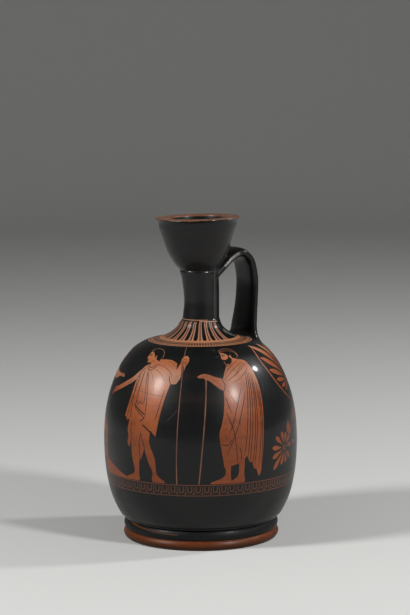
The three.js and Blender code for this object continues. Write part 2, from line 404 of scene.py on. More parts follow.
def youth(place):
    """Standing youth in a short cloak, hat slung on the back, one hand out and the other on a spear."""
    # Hat on the back
    fill(place, CLAY, [(-7, 76), (-1, 77), (4, 76.7), (8, 74.6)], [(8.7, 70), (8.3, 66), (6.8, 62)],
         [(-3, 64)])
    brush(place, [(-5.6, 75.2), (0, 75.9), (4.8, 75), (7.4, 72)], 0.3, BROWN)
    # Thighs and the cloak that hangs behind and between the legs
    fill(place, CLAY, [(-19, 36), (-18.4, 44), (-16, 50)], [(-9, 50), (-4, 46)],
         [(-5, 40), (-6.6, 34)], [(-12, 33)])
    fill(place, CLAY, [(-19.4, 37), (-20.6, 31), (-19.6, 27.4), (-20.4, 23.4), (-18.8, 20.4)],
         [(-17.4, 25), (-17.6, 37)])
    fill(place, CLAY, [(-10.4, 36), (-10.3, 22), (-9.9, 13)], [(-8.4, 15.6), (-7.4, 18.6), (-6.2, 21.6)],
         [(-5.2, 36)], [])
    # Back leg, then the forward one
    fill(place, CLAY, [(-10.2, 37), (-9.4, 31), (-8.2, 26), (-7.2, 23.2), (-5.6, 17.6), (-3.2, 11.4),
                       (-1, 6.4), (-1.6, 3), (-1.3, 0.5)],
         [(2.6, 0.4), (6.6, 0.4)],
         [(6.8, 1.4), (4.6, 2.8), (2.3, 4.8), (1.4, 7.6), (1.2, 11.6), (0.4, 16.2), (-1.8, 21),
          (-3.2, 25.4), (-2.7, 31), (-3.2, 36)], [])
    strokes(place, [[(-10, 33), (-9.3, 29), (-8.2, 26), (-7.2, 23.2), (-6.2, 20)]], width=0.5)
    fill(place, CLAY, [(-19, 40), (-18.6, 33), (-17.3, 25.6), (-16.9, 21), (-16.5, 16), (-14.9, 9.6),
                       (-14.5, 6.2), (-16.4, 4), (-19.4, 2.8), (-21.4, 1.6)],
         [(-21, 0.5), (-16, 0.4), (-11.4, 0.4)],
         [(-10.5, 2), (-11, 5), (-10.7, 9), (-9.8, 15.4), (-10.2, 20), (-10.6, 24.6), (-9.2, 31),
          (-7.6, 38)],
         [])
    strokes(place, [[(-10.7, 10), (-9.9, 15.4), (-10.2, 20), (-10.5, 24.6), (-9.6, 30)],
                    [(-17.4, 36), (-17.6, 30), (-16.8, 25)]], width=0.5)
    # Cloak
    fill(place, CLAY,
         [(-11.4, 72.6), (-14.2, 70.4), (-16.8, 66), (-18.6, 60), (-20, 53), (-21.8, 45.6), (-23.9, 38.8)],
         [(-22.4, 38.2), (-21.8, 36.2)], [(-20.4, 37.4), (-19, 36)],
         [(-18.4, 42), (-15, 46.4)], [(-9, 40), (-6.6, 35.6)],
         [(-3, 32.4), (1.2, 28.4)],
         [(2.2, 35), (3.6, 43), (5, 51), (6.6, 58.4), (7.4, 62.4)],
         [(7.2, 66.6), (3.6, 70), (-1, 72), (-5.6, 72.8)])
    # Arm held out
    fill(place, CLAY, [(-12.6, 71.8), (-17, 67.4), (-22, 63), (-27.6, 59.8), (-33, 57.2), (-37.4, 55.3)],
         [(-40.8, 54.4), (-46, 49.6), (-45.2, 49), (-41.4, 51.6)],
         [(-39.6, 51.2), (-37.4, 52.4)],
         [(-32, 54.4), (-26.6, 57), (-21.6, 59.6), (-17.6, 62.6)], [])
    # Raised arm, the spear with a dark edge, and the fist round it
    spear = [(7.5, 91.4), (8.4, 88), (10.4, 80.6), (12.7, 70), (14.1, 60), (15, 46), (15.1, 30), (14.8, 14),
             (14.5, 0.2)]
    fill(place, CLAY, [(5.4, 66), (6.6, 62.4), (8, 60.9), (10.8, 61.2)],
         [(12.4, 64.6), (13.5, 69.4), (13.8, 74)],
         [(10.2, 75.4)], [(9, 71), (7.8, 69.4)])
    brush(place, spear, 1.4, BLACK, (1, 1))
    brush(place, spear, 0.64, DULL, (0.6, 1))
    fill(place, CLAY, [(13.6, 72.6), (14.7, 76), (13.6, 79.4), (11.6, 80.4), (10, 78.4), (10, 75.2)],
         [(11.6, 73.6)])
    strokes(place, [[(10.2, 78.4), (11.8, 77.6), (13.4, 78.4)], [(10, 76.8), (12, 76), (14, 76.8)],
                    [(10.2, 75.2), (12, 74.4), (13.9, 75)]], width=0.35)
    # Head, then the folds and hems of the cloak
    profile_head(place, (-13.6, 73.8), 11.2, 4)
    strokes(place, [
        [(-11.8, 72), (-8.8, 70.4), (-5.6, 72.6)], [(-12.2, 70.8), (-8.8, 68.8), (-4.4, 72.2)],
        [(-17.5, 62.4), (-16, 66), (-13.4, 69.8)], [(-17.4, 62), (-17.8, 54), (-18.3, 46), (-18.9, 37.4)],
        [(-15.6, 65.6), (-17.2, 56), (-20, 46), (-21.9, 38.6)],
        [(-12.6, 70), (-13.8, 60), (-14.6, 52), (-15.2, 46.6)],
        [(-10.6, 69), (-9.6, 60), (-8.8, 52), (-9, 46.8)], [(-9.8, 69), (-8, 58), (-7, 48), (-7.2, 40)],
        [(4.4, 57), (3.3, 52), (1.8, 45), (0.4, 38.4)], [(5.4, 66), (6.6, 62), (7.4, 61.4)]], width=0.46)
    strokes(place, [[(-8.4, 69), (-5, 63), (-3.4, 56)], [(-6.6, 70.4), (-1, 67.4), (3.4, 62.4)]], width=0.3,
            paint=BROWN)
    brush(place, [(-7, 72.9), (-2.4, 72.6), (2, 71), (5.6, 68), (7.4, 65)], 0.4, BROWN)
    strokes(place, [[(-15.6, 46.8), (-14.2, 49), (-13.2, 46.9), (-11.6, 49.3), (-10.8, 47.2),
                     (-9.2, 49.4)]], width=0.42)
    for width, fold in ((0.5, [(-16, 47.4), (-15.6, 45.4), (-14.2, 43.8)]),
                        (0.8, [(-15.2, 45.9), (-11.2, 43.2), (-7, 40.9)]),
                        (0.5, [(-15, 44.3), (-11, 41.4), (-7.4, 39.2)]),
                        (0.6, [(-7.2, 39.4), (-9, 38), (-10.9, 36.7)]),
                        (0.9, [(-8.4, 35.1), (-3.6, 31.6), (1.4, 28)])):
        brush(place, fold, width, BLACK, (0.7, 0.5))
    # Fine lines of knees, shins, feet and arm
    strokes(place, [
        [(-16, 23.6), (-14, 22.4), (-12.2, 23.4)], [(-14.8, 20.4), (-13.8, 14), (-13, 8)],
        [(-6, 22.4), (-4.8, 21.8)],
        [(-3.9, 19), (-1.9, 13), (0, 8)], [(-13.8, 5.6), (-12.6, 4.6)], [(-20.8, 1.3), (-19, 1.8)],
        [(4.6, 1.6), (6.2, 1.2)],
        [(-16.4, 33), (-15.4, 28), (-15.2, 25)], [(-27, 58), (-24, 59.4), (-20.6, 62.6)],
        [(-39.2, 53.6), (-41.6, 52)],
        [(-19, 55.6), (-10, 54.6), (0, 53.4), (5.2, 53)]], width=0.3, paint=BROWN)


def draped_figure(place, elder=True):
    """Standing figure wrapped in a long mantle, one forearm
    out: an elder with a staff, or a youth with a ribbon."""
    # Feet
    fill(place, CLAY, [(-13.7, 12), (-13.2, 8), (-13.4, 5.6), (-16, 3.6), (-19.4, 2.4), (-22, 1.4)],
         [(-21.8, 0.4), (-16, 0.4), (-10, 0.4)], [(-9.4, 2.4), (-10, 6), (-9.8, 13)], [])
    fill(place, CLAY, [(-4.8, 14), (-4.6, 8), (-5.2, 5), (-7.2, 3.2), (-9.8, 1.6)],
         [(-9.6, 0.4), (-4, 0.4), (-1, 0.4)],
         [(-0.5, 2.4), (-1.2, 6), (-0.8, 16)], [])
    if elder:
        staff = [(-20.2, 65), (-22.4, 54), (-24.6, 42), (-26.4, 30), (-28, 16), (-29.2, 0.2)]
        brush(place, staff, 0.76, DULL, (1, 1))
    else:
        strokes(place, [[(-21, 64), (-22.4, 58), (-20.4, 52), (-22.6, 46), (-21.4, 41)],
                        [(-19.6, 64), (-18, 58.6), (-19.4, 53), (-17.6, 47)]], width=0.9, paint=CLAY)
    # Forearm
    fill(place, CLAY, [(-9.4, 64), (-14.4, 65.6), (-18, 67.2), (-20.6, 67.8), (-23, 67.2), (-25.2, 66)],
         [(-24.6, 65.1), (-21.6, 65.1)], [(-20.8, 63.9), (-18.8, 63.4), (-15.4, 60), (-12.6, 57.6),
                                          (-9.4, 56.6)],
         [])
    profile_head(place, (-5.8, 75.4), 10.7, 9, bearded=elder, filleted=True)
    # Mantle, with its corner behind
    fill(place, CLAY,
         [(-4.6, 74), (-6.2, 71.8), (-8.8, 66.8), (-10.7, 62), (-11.1, 56.4), (-11.7, 51), (-13, 43.4),
          (-15, 36.4), (-16.8, 30.4), (-16, 22.6), (-14.9, 15.6), (-14.1, 10.5)],
         [(-10.4, 11), (-6, 12.2), (-2, 14.4), (0.8, 16.4)], [(2.4, 12.4)], [(4, 12.8)],
         [(5.8, 8)], [(7.2, 8.6)], [(8.8, 4.2), (10, 3.6), (11, 6.4)],
         [(11.6, 12), (12.5, 20), (13.3, 30), (14.1, 42), (14.4, 52), (13.6, 60), (12, 67), (9.8, 72.6),
          (7.4, 75.6), (3.6, 76.6), (-0.4, 75.8)], [(-2.4, 73.8)])
    # Folds over the shoulder, long folds, fine lines
    strokes(place, [
        [(-0.8, 75.6), (-3.2, 73.4), (-5.6, 72.4)], [(3.4, 76), (-1.2, 73.6), (-5.8, 69.6), (-8.4, 66)],
        [(6.2, 75), (1, 72), (-4.8, 67.6), (-9.4, 63.4)],
        [(7.8, 73.4), (3.4, 69.8), (-2, 66), (-8.6, 62.2)],
        [(8.6, 71), (5, 67), (0.6, 63.6), (-4.6, 61.4)], [(-2, 65.4), (1.4, 69.4), (6, 73.6)]], width=0.42,
        paint=BROWN)
    strokes(place, [
        [(-10.8, 64), (-9.6, 60.4), (-10.6, 56.6)],
        [(5.6, 67.4), (4.6, 58), (2.8, 44), (1, 30), (-1, 17)],
        [(7.8, 68), (7.2, 56), (5.8, 40), (4, 24), (2.5, 12.6)],
        [(9.8, 66), (9.8, 52), (8.8, 36), (7.2, 20), (6, 8.6)],
        [(11.6, 62), (11.9, 46), (11.3, 32), (10, 18), (8.8, 8.8)],
        [(13, 56), (13, 42), (12.2, 26), (11, 9)], [(3, 56), (-0.6, 46), (-4.6, 35), (-8.6, 26), (-13, 17)],
        [(0.4, 58), (-4.4, 46), (-8, 36), (-10.6, 31)], [(-12, 44), (-9.4, 38), (-7.5, 31), (-6.4, 23),
                                                         (-5.8, 12.6)],
        [(-15.8, 24.6), (-12, 24), (-8.8, 27)], [(-10.8, 53), (-9.4, 47), (-7.8, 43)],
        [(-4.2, 22), (-3.2, 18), (-3.4, 14)], [(6.8, 68), (6, 57), (4.4, 42), (2.6, 26), (0.9, 14.6)],
        [(8.9, 66), (8.7, 53), (7.5, 37), (5.8, 20), (4.4, 11)]], width=0.46)
    strokes(place, [
        [(-8.6, 58), (-6.4, 52), (-4, 47.6)], [(-14.6, 34), (-12.6, 30), (-12.6, 25)],
        [(-2.4, 40), (-3.6, 32), (-2.6, 22)],
        [(-15, 62.6), (-18.4, 65.4), (-22.8, 66)], [(-13.2, 9.4), (-12, 6), (-12.6, 4.4)],
        [(-4, 11), (-3.2, 6), (-3.8, 4)],
        [(-21.4, 1.2), (-19.4, 1.8)], [(-9.2, 1.2), (-7.6, 1.8)]], width=0.3, paint=BROWN)


def seated_figure(place):
    """Seated figure with a mantle round the legs, one arm held
    out, the other hand on a staff, feet by a low rock."""
    staff = [(13.6, 84), (16.4, 66), (17.8, 50), (18.6, 30), (18.2, 0.2)]
    brush(place, staff, 1.0, CLAY, (0.6, 1))
    # Rock
    fill(place, CLAY, [(-6, 0.4), (-5, 12), (-6.6, 26)], [(12, 28)], [(13.4, 14), (14.6, 0.4)], [])
    strokes(place, [[(-3.6, 2), (-2, 10), (-4, 19)], [(1, 1.4), (3.6, 9), (2, 18)],
                    [(7, 2), (8.4, 9), (7, 15)], [(11, 4), (10.6, 12), (12, 19)]])
    # Foot put forward
    fill(place, CLAY, [(-23.6, 12), (-24.6, 9.6), (-29, 8), (-36, 5.4), (-42, 3), (-46.4, 1.6)],
         [(-46.4, 0.4), (-20, 0.4)],
         [(-20.4, 5), (-20.4, 12)], [])
    # Chest, and the arm on the staff
    fill(place, CLAY, [(-2, 38), (-4.8, 52), (-3.6, 60), (-1.6, 66), (0, 68.6)], [(4.4, 69)],
         [(6, 66.6), (9.8, 63.8), (11.8, 52), (10.6, 38)], [])
    fill(place, CLAY, [(8, 65), (10.6, 62), (14.2, 55), (15, 51.4), (17.4, 53)], [(17.6, 57), (19.2, 60)],
         [(17.4, 61.4), (15.6, 60), (14.8, 57)], [(12.4, 63), (8, 67)], [])
    # Mantle over the legs, and the arm held out
    fill(place, CLAY, [(12.6, 29), (10.8, 41), (4, 43), (-2.4, 41)],
         [(-10, 36), (-20, 30.6), (-24.2, 25.6)],
         [(-23.2, 18), (-24.2, 10)], [(-22, 9), (-18.8, 9.6)],
         [(-18.4, 16), (-17, 24), (-8, 25.2), (4, 25.6)])
    fill(place, CLAY, [(0, 66.8), (-7, 65.4), (-13.4, 63.6), (-20.6, 63.2), (-24.4, 63.6), (-27.4, 62.4)],
         [(-26.6, 61.3), (-24, 61.5)], [(-20.6, 61.2), (-14, 58.6), (-8, 59), (-2.6, 58.4)], [])
    profile_head(place, (-4.8, 70.4), 11.2, 4, filleted=True)
    # Folds, then fine lines
    strokes(place, [
        [(-2.4, 41), (2, 39.6), (7, 40), (10.8, 41)], [(-2.6, 58.4), (-1, 62), (1.4, 64)],
        [(8, 65), (9.2, 60), (9, 55)],
        [(9, 38), (-2, 34), (-14, 31), (-23, 26)], [(11, 34), (0, 29.6), (-12, 28), (-18, 26.4)],
        [(12, 30), (2, 27), (-8, 27)],
        [(-22.2, 27), (-21.4, 20), (-22.6, 10.4)], [(-20.6, 28), (-20.2, 19), (-21.4, 8.8)],
        [(-18.4, 27), (-18.6, 20), (-19.4, 13)],
        [(-10, 35.6), (-13, 32), (-17, 30)], [(5, 42.4), (3, 36), (-2, 33.8)],
        [(8.6, 41.6), (8, 36), (4, 32)],
        [(15.2, 58.6), (17, 58.2), (18.8, 59.2)]])
    strokes(place, [
        [(-4.2, 55.4), (-1, 53.6), (2.8, 54.8)], [(-2.8, 47), (0.4, 46), (2, 46.6)],
        [(2, 63.4), (0.6, 58), (1.2, 50), (0.6, 44)],
        [(-20, 62.6), (-24, 62.8), (-27.4, 62.4)], [(-26, 7), (-31, 4.6), (-36, 3.4)],
        [(-43.6, 1.4), (-41, 1.6)]],
        width=0.3, paint=BROWN)


def scratches():
    """Fine scratches in the gloss, each at a bearing and height, with its run and fall."""
    for bearing, height, run, fall in ((-79, 61.5, 1.6, 7.4), (-139, 45.5, 6.5, 7), (-170, 30, 1.2, 4),
                                       (-66, 33, 2.2, 3), (-108, 80, 3.4, 0.8), (60, 20, 3, 5)):
        place = sheet(bearing)
        brush(place, [(0, height), (-run * 0.45, height - fall * 0.55), (-run, height - fall)], 0.2,
              SCRAPED, (0.2, 0.2))


def paint_wall():
    """Lays all the painting in order: figures and palmettes first, the bands over their ends."""
    scratches()
    draped_figure(sheet(-98))
    youth(sheet(-153))
    seated_figure(sheet(141, -1))
    draped_figure(sheet(99, -1), elder=False)
    for side in (1, -1):
        handle_ornament(side)
    handle_bud()
    ovolo()
    shoulder_bands()


# Materials

# Chips in the gloss, centre and radius in millimetres: two at the lip, one on the foot, one on the handle
CHIPS = [((-21.9, 12.8, 197.2), 2.2), ((18, -19, 199.2), 0.9), ((30.9, -36.8, 6.4), 1.5),
         ((34.5, -8.2, 174.5), 0.8)]

# The near upper edge of the strap: a pale line, partly rubbed wear and partly a painted highlight along the
# edge
WORN_EDGE_AND_HIGHLIGHT = [((x, -10.3, z), 1.3) for x, z in ((13, 170), (14.6, 171.3), (16.2, 172.6), (17.8, 173.8),
                                          (19.4, 174.9), (21, 175.8), (22.6, 176.6))]

# Painted highlights: grey patches laid on the gloss where the lamps would shine, on the flare beside the
# handle and at the strap's near root
PAINTED_HIGHLIGHT_SPOTS = [((9.8, -14.2, 130), 2.7), ((12.4, -15, 128.5), 2.9), ((15.2, -15.8, 127), 2.2),
          ((27, -11, 125.8), 3.4)]

# A pale line that the brush left down the near side of the neck
NECK_STREAK = [((3.4, -11.3, 0), 0.8)]

# Settings that many nodes share
SMOOTH = {"interpolation_type": "SMOOTHSTEP"}
TIMES = {"operation": "MULTIPLY"}


def linear(code):
    """sRGB hex code to linear red, green, blue and alpha."""
    parts = [int(code[i:i + 2], 16) / 255 for i in (1, 3, 5)]
    return tuple(c / 12.92 if c <= 0.04045 else ((c + 0.055) / 1.055) ** 2.4 for c in parts) + (1.0,)


def node(tree, kind, feeds=(), out=0, **settings):
    """Adds a node with its settings and gives one output. Feeds fill its inputs, in
    order or by name or number: a socket is linked and any other value is set."""
    made = tree.nodes.new("ShaderNode" + kind)
    for key, value in settings.items():
        setattr(made, key, value)
    for slot, value in feeds.items() if isinstance(feeds, dict) else enumerate(feeds):
        if isinstance(value, bpy.types.NodeSocket):
            tree.links.new(value, made.inputs[slot])
        else:
            made.inputs[slot].default_value = value
    return made.outputs[out] if made.outputs else made


def start_finish(name):
    """A new node material: (material, its tree, Object coordinates in metres)."""
    material = bpy.data.materials.new(name)
    material.use_nodes = True
    tree = material.node_tree
    tree.nodes.clear()
    return material, tree, node(tree, "TexCoord", out="Object")


def end_finish(tree, feeds, relief, depth):
    """Ends a material: its shader's feeds, and a bump that
    is a depth in millimetres where the relief is 1."""
    bump = node(tree, "Bump", {"Strength": 1.0, "Distance": depth * 0.001, "Height": relief})
    shader = node(tree, "BsdfPrincipled", {**feeds, "Normal": bump})
    node(tree, "OutputMaterial", (shader,))


def speckle(tree, place, size, stretch=(1, 1, 1), detail=3.0):
    """Noise with lumps of about the given size in millimetres,
    longer along an axis whose stretch is below 1."""
    scaled = node(tree, "VectorMath", (place, stretch), **TIMES)
    return node(tree, "TexNoise", {"Vector": scaled, "Scale": 500.0 / size, "Detail": detail,
                                   "Roughness": 0.55})


def summed(tree, *weighted):
    """Sum of values, each by its weight."""
    total = 0.0
    for value, weight in weighted:
        part = node(tree, "Math", (value, weight), **TIMES)
        total = node(tree, "Math", (total, part))
    return total


def together(tree, *shares):
    """Share where several shares hold together: their product."""
    product = 1.0
    for share in shares:
        product = node(tree, "Math", (product, share), **TIMES)
    return product


def spots(tree, place, places, stretch=(1, 1, 1)):
    """1 within ragged round places, each a centre and radius
    in millimetres, endless along an axis of stretch 0."""
    most = 0.0
    for centre, radius in places:
        away = node(tree, "VectorMath", (place, tuple(c * 0.001 for c in centre)), operation="SUBTRACT")
        flat = node(tree, "VectorMath", (away, stretch), **TIMES)
        length = node(tree, "VectorMath", (flat,), "Value", operation="LENGTH")
        ragged = summed(tree, (length, 1000.0), (speckle(tree, place, radius), -radius))
        share = node(tree, "MapRange", (ragged, 0.5 * radius, 0.3 * radius), **SMOOTH)
        most = node(tree, "Math", (most, share), operation="MAXIMUM")
    return most


def layered(tree, base, layers):
    """Colour of a base with layers laid over it in turn,
    each a hex colour, where it lies and how strongly."""
    colour = linear(base)
    for code, share, strength in layers:
        cover = node(tree, "Math", (share, strength), **TIMES)
        colour = node(tree, "Mix", {0: cover, 6: colour, 7: linear(code)}, 2, data_type="RGBA")
    return colour


def black_gloss(name="sintered_black_gloss_slip", rough=(0.32, 0.47), coat=0.22):
    """Attic black gloss: an iron-rich slip sintered in the kiln. Nearly black
    with a sharp shine over a wider haze, brushed on in turns of the wheel,
    browner where it is thin, chipped at the lip and dusted with pale wear.
    Grey patches beside the handle and on the strap are painted highlights."""
    material, tree, place = start_finish(name)
    turns = speckle(tree, place, 3.0, (0.04, 0.04, 1))
    cloud = speckle(tree, place, 26.0)
    grain = speckle(tree, place, 1.6, detail=5.0)
    thin = node(tree, "MapRange", (summed(tree, (turns, 0.45), (cloud, 0.55)), 0.52, 0.74), **SMOOTH)
    specks = node(tree, "MapRange", (speckle(tree, place, 0.7, detail=2.0), 0.72, 0.78), **SMOOTH)
    worn_patch = node(tree, "MapRange", (speckle(tree, place, 40.0), 0.45, 0.62), **SMOOTH)
    dust = together(tree, specks, worn_patch)
    chips = spots(tree, place, CHIPS)
    colour = layered(tree, "#0b0c0c", [
        ("#19120d", thin, 1.0),
        ("#2b2826", spots(tree, place, NECK_STREAK, (1, 1, 0)), 1.0),
        # grey patches painted as highlights on the flare and at the strap's root
        ("#625f5c", spots(tree, place, PAINTED_HIGHLIGHT_SPOTS), 0.7),
        # pale line on the strap's near edge: rubbed wear and a painted highlight
        ("#77706a", spots(tree, place, WORN_EDGE_AND_HIGHLIGHT), 0.6),
        ("#4b4640", dust, 1.0),
        ("#8f5230", chips, 1.0)])
    brushed = summed(tree, (turns, 0.3), (cloud, 0.4), (grain, 0.3))
    even = node(tree, "MapRange", (brushed, 0.3, 0.7, *rough), **SMOOTH)
    matt = node(tree, "Math", (chips, dust), operation="MAXIMUM")
    shine = {"Specular IOR Level": 0.16, "Coat Weight": coat, "Coat Roughness": 0.1}
    relief = summed(tree, (turns, 0.5), (grain, 0.2), (cloud, 0.8), (chips, -3.0))
    end_finish(tree, {"Base Color": colour, "Roughness": summed(tree, (even, 1.0), (matt, 0.25)), **shine},
               relief, 0.06)
    return material


def reserved_clay(name="burnished_reserved_clay", specular=0.26, coat=0.12, wash_of=("#6f300d", "#974c1c")):
    """Reserved clay: the fine iron-rich body left bare, washed with ochre and
    burnished. Warm orange-brown, cloudy, finely gritty, with a satin haze and small
    dark grits. A painted sheen lies on the upper figures, dust and painted top light on the shoulder,
    dust and painted sheen on the flare, painted shade on the foot, belly and handle's side, and a
    painted contact shadow with dirt on the standing edge; the low bands are darker, and dirt lies on the
    rim."""
    material, tree, place = start_finish(name)
    cloud = speckle(tree, place, 18.0)
    wash = speckle(tree, place, 2.4, (0.1, 0.1, 1))
    grit = speckle(tree, place, 0.9, detail=4.0)
    tone = node(tree, "MapRange", (summed(tree, (cloud, 0.55), (wash, 0.3), (grit, 0.3)), 0.4, 0.76),
                **SMOOTH)
    pits = node(tree, "MapRange", (speckle(tree, place, 1.1, detail=2.0), 0.7, 0.78), **SMOOTH)
    level = node(tree, "SeparateXYZ", (place,), "Z")
    handle_way = node(tree, "SeparateXYZ", (place,), "X")
    # Zones of the pot: along which axis they run, and between which metres they come in fully
    zones = {
        "foot": (level, 0.03, 0.0),
        "standing edge": (level, 0.0054, 0.0006),
        "above the foot": (level, 0.02, 0.03),
        "below the ground line": (level, 0.0442, 0.043),
        "belly": (level, 0.104, 0.06),
        "upper belly": (level, 0.078, 0.09),
        "upper figures": (level, 0.092, 0.108),
        "below the shoulder ring": (level, 0.116, 0.109),
        "shoulder ring": (level, 0.112, 0.122),
        "flare": (level, 0.125, 0.128),
        "below the mouth": (level, 0.16, 0.15),
        "rim": (level, 0.19, 0.196),
        "handle side": (handle_way, 0.018, 0.042),
        "figure side": (handle_way, 0.022, 0.008),
    }
    within = {zone: node(tree, "MapRange", ends, **SMOOTH) for zone, ends in zones.items()}
    cloudy = node(tree, "MapRange", (cloud, 0.2, 0.6), **SMOOTH)
    # Painted shade: the clay darkened over the foot, down the belly and on the handle's side
    painted_shade = summed(tree, (within["foot"], 0.3), (within["belly"], 0.52), (within["handle side"], 0.6),
                   (together(tree, within["handle side"], within["upper belly"]), 0.25))
    # Dust and painted top light: the shoulder ring paled where it faces up, less so on the flare
    dust = summed(tree, (within["shoulder ring"], 0.42), (within["flare"], -0.24))
    # Painted sheen: a pale haze laid on the upper figures, away from the handle and below the shoulder ring
    painted_sheen = together(tree, within["upper figures"], within["figure side"],
                     within["below the shoulder ring"], cloudy)
    rubbing = node(tree, "MapRange", (speckle(tree, place, 5.0), 0.5, 0.66), **SMOOTH)
    colour = layered(tree, wash_of[0], [
        (wash_of[1], tone, 1.0),
        ("#4a2a18", pits, 1.0),
        ("#4f220a", painted_shade, 1.0),
        # painted contact shadow with dirt: the standing edge darkened
        ("#24140b", within["standing edge"], 0.9),
        # the low bands darker towards the bottom
        ("#3a281e", together(tree, within["below the ground line"], within["above the foot"]), 0.68),
        # dust with painted top light on the shoulder ring
        ("#b88e6e", dust, 1.0),
        # dust and painted sheen: a grey haze over the clay of the flare and neck
        ("#85786c", together(tree, within["flare"], within["below the mouth"]), 0.34),
        ("#cfc8b6", painted_sheen, 0.15),
        ("#452f22", within["rim"], 0.7),
        ("#8f7c6e", together(tree, within["rim"], rubbing), 0.4)])
    satin = node(tree, "MapRange", (summed(tree, (grit, 0.5), (cloud, 0.5)), 0.3, 0.7, 0.37, 0.5), **SMOOTH)
    shine = {"Specular IOR Level": specular, "Coat Weight": coat, "Coat Roughness": 0.2}
    relief = summed(tree, (grit, 0.35), (wash, 0.25), (cloud, 0.6), (pits, -0.6))
    end_finish(tree, {"Base Color": colour, "Roughness": satin, **shine}, relief, 0.05)
    return material


def patchy(name, size, colours, rough, specular, depth):
    """A thin finish in patches of a size in millimetres, between two hex colours and two roughnesses."""
    material, tree, place = start_finish(name)
    patch = node(tree, "MapRange", (speckle(tree, place, size), 0.35, 0.65), **SMOOTH)
    colour = layered(tree, colours[0], [(colours[1], patch, 1.0)])
    matt = node(tree, "MapRange", (patch, 0.0, 1.0, *rough), **SMOOTH)
    end_finish(tree, {"Base Color": colour, "Roughness": matt, "Specular IOR Level": specular}, patch,
               depth)
    return material


gloss = black_gloss()

# The foot's gloss and clay: handled and set down for long, so duller
worn_gloss = black_gloss("handled_black_gloss_slip", (0.42, 0.6), 0.04)
clay = reserved_clay()
foot_clay = reserved_clay("handled_reserved_clay", 0.13, 0.01, ("#663516", "#905428"))

# Dilute gloss: the black slip thinned with water and drawn as fine lines. Translucent brown over the clay.
dilute = patchy("dilute_brown_slip", 3.0, ("#4a220f", "#66341a"), (0.36, 0.48), 0.26, 0.03)

# Scraped gloss: fine scratches that have dulled the shine. Grey, matt, dusty.
scraped = patchy("scraped_black_gloss", 1.2, ("#262826", "#404340"), (0.5, 0.7), 0.3, 0.04)

# Dulled clay: the thin reserved shafts, whose wash has worn off. Greyer and paler than the figures, matt.
dulled = patchy("dulled_reserved_clay", 6.0, ("#50352a", "#6b4737"), (0.45, 0.6), 0.26, 0.03)


# Thrown pieces

bow = spline([(1, 0), (122, 0), (136, 0.6), (148, 1.2), (160, 0.6), (170, -0.6), (185, -1.05), (205, -1.0)])
TILT = 0.02


def lean(made, held):
    """Moves a piece as hand throwing has left it: the neck
    bowed to the right of the view, the mouth tilted on it.

    A held piece moves less the farther it is from the axis."""
    mesh = made.data
    place = np.empty(len(mesh.vertices) * 3)
    mesh.vertices.foreach_get("co", place)
    place = place.reshape(-1, 3) * 1000
    right = np.array([math.cos(VIEW_AZIMUTH), math.sin(VIEW_AZIMUTH)])
    share = np.clip((28 - np.hypot(place[:, 0], place[:, 1])) / 14, 0, 1) if held else 1
    rise = np.clip((place[:, 2] - 165) / 20, 0, 1)
    place[:, 2] += TILT * rise * (place[:, :2] @ right) * share
    place[:, :2] += (share * np.interp(place[:, 2], bow[:, 0], bow[:, 1]))[:, None] * right
    mesh.vertices.foreach_set("co", (place * 0.001).ravel())
    mesh.update()


def dress(made, *nodes, slot, held=False):
    """Sets a finished piece on the one rigid body in place of its solids."""
    lean(made, held)
    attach(made, "root")
    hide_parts(*nodes)


foot_edge = spline([(46.6, 0), (47.9, 0.8), (48.6, 2.9), (47.9, 5.0), (47.2, 5.8), (47.7, 6.6), (48.3, 8.6),
                    (47.8, 10.8), (47.1, 11.9), (46.2, FOOT_TOP)], 80)
foot_profile = np.vstack([[(40.4, 0)], foot_edge, [(38.4, FOOT_TOP), (38.4, 5), (40.4, 0)]])
points, faces = turned(foot_profile)


def bearing_of(points):
    """Bearing of points in degrees from the photograph's side, to the right of the view."""
    return (np.degrees(np.arctan2(points[:, 1], points[:, 0])) + 125 + 180) % 360 - 180


level = points[faces].mean(axis=1)
radius = np.hypot(level[:, 0], level[:, 1])
side = bearing_of(level)
worn_through = np.abs(level[:, 2] - 13.84 + 4.43 * np.cos(np.radians(side))) < 0.34 - 0.004 * (side + 66)
worn_through &= (side > -66) & (side < -18) & (radius > 44)
coat = np.where((level[:, 2] < 5.9) | (radius < 40) | worn_through, 1, 0)
coat[(np.abs(level[:, 2] - 4.9) < 0.16) & (radius > 44)] = 2
foot = piece("foot", points, faces, [worn_gloss, foot_clay, dilute], coat)
dress(foot, "foot", slot="fired_clay")


def seam_ring(name, inner, profile, reserved):
    """A slip seam: the outer profile [r, z] closed to the
    inner radius, clay-coloured between two bearings."""
    profile = np.asarray(profile, float)
    back = [(inner, profile[-1, 1]), (inner, profile[0, 1])]
    points, faces = turned(np.vstack([back[1:], profile, back]))
    side = bearing_of(points[faces].mean(axis=1))
    return piece(name, points, faces, [gloss, clay], (side > reserved[0]) & (side < reserved[1]))


foot_lute = seam_ring("foot_lute", 38.6, [(46.2, FOOT_TOP), (46.9, FOOT_TOP + SLIP / 2), (47.4, BODY_SEAT)],
                      (0, 0))
dress(foot_lute, "foot_lute", slot="clay_slip")
neck_lute = seam_ring("neck_lute", BORE_RADIUS, [(11.6, BODY_TOP), (11.66, BODY_TOP + SLIP / 2),
                                                 (11.5, NECK_SEAT)], (-180, 20))
dress(neck_lute, "neck_lute", slot="clay_slip")
mouth_lute = seam_ring("mouth_lute", 10.0, [(11.5, 166.8), (11.72, 167.3), (12.0, 168.0)], (0, 0))
dress(mouth_lute, "mouth_lute", slot="clay_slip")


def inside(points, outline):
    """True where the winding number of the closed outline round a point isn't zero."""
    a, b = outline, np.roll(outline, -1, axis=0)
    turns = np.zeros(len(points), int)
    for (ax, ay), (bx, by) in zip(a, b):
        if ay == by:
            continue
        side = (bx - ax) * (points[:, 1] - ay) - (points[:, 0] - ax) * (by - ay)
        turns += (ay <= points[:, 1]) & (points[:, 1] < by) & (side > 0)
        turns -= (by <= points[:, 1]) & (points[:, 1] < ay) & (side < 0)
    return turns != 0


